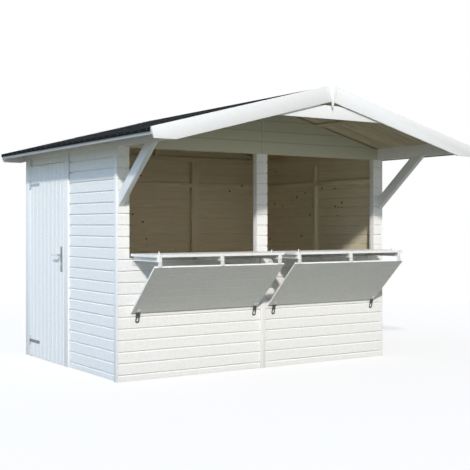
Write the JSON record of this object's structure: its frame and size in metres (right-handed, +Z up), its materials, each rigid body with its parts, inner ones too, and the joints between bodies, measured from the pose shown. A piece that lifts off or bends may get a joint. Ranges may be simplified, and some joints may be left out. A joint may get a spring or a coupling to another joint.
{
  "type": "garden kiosk shed with two serving hatches",
  "caption": "White boarded garden kiosk shed with a side door, two folded-down serving hatches and a felted pitched roof with a front canopy.",
  "frame": {"origin": "middle of the wall plan, on the ground, at the underside of the middle floor bearer", "axes": "+X along the front to the right as seen by a customer, +Y to the back, +Z up; the front faces -Y"},
  "size_m": [3.378, 3.192, 2.4585],
  "materials": {
    "white_boards": "painted boards",
    "white_trim": "painted planed timber",
    "bare_pine": "unpainted planed pine",
    "roof_pine": "unpainted roof boards, weathered underside",
    "treated_pine": "pressure treated bearers",
    "felt": "mineral roofing felt, anthracite",
    "white_steel": "white painted steel",
    "dark_steel": "dull weathered zinc",
    "lever_metal": "satin nickel"
  },
  "bodies": {
    "shed": {"floor_bearers": "treated_pine", "floor_deck": "bare_pine", "ridge_beam": "bare_pine", "eave_purlins": "white_trim", "roof_battens": "roof_pine", "front_wall_lower": "white_boards", "front_posts": "white_boards", "front_gable": "white_boards", "rear_gable": "white_boards", "back_wall": "white_boards", "right_wall": "white_boards", "left_wall_front": "white_boards", "left_wall_rear": "white_boards", "left_wall_over_door": "white_boards", "corner_trims": "white_trim", "door_hinge_trim": "white_trim", "door_lock_trim": "white_trim", "front_centre_batten": "white_trim", "front_and_back_rails": "bare_pine", "side_rails": "bare_pine", "wall_studs": "bare_pine", "roof_boards": "roof_pine", "eave_fascias": "white_trim", "roof_felt": "felt", "front_barges": "white_trim", "rear_barges": "white_trim", "tie_board": "white_trim", "finials": "white_trim", "canopy_braces": "white_trim", "counter_left": "white_boards", "counter_right": "white_boards", "flap_left": "white_boards", "flap_right": "white_boards", "flap_links": "white_steel", "sill_hinges": "white_steel", "counter_pins": "white_steel", "hatch_hasps": "dark_steel", "door_hinge_plates": "white_steel"},
    "door": {"door_leaf": "white_boards", "door_ledges": "bare_pine", "door_braces": "bare_pine", "door_straps": "white_steel", "lock_plates": "lever_metal"},
    "lever": {"lever_handle": "lever_metal"}
  },
  "joints": [
    {"name": "door_hinge", "type": "hinge", "parent": "shed", "child": "door", "pos_m": [-1.477, 0.888, 0.93], "axis": [0, 0, -1], "range_deg": [0, 110]},
    {"name": "lever_turn", "type": "hinge", "parent": "door", "child": "lever", "pos_m": [-1.462, 0.121, 1.025], "axis": [-1, 0, 0], "range_deg": [0, 40], "stiffness_Nm_per_rad": 4}
  ]
}
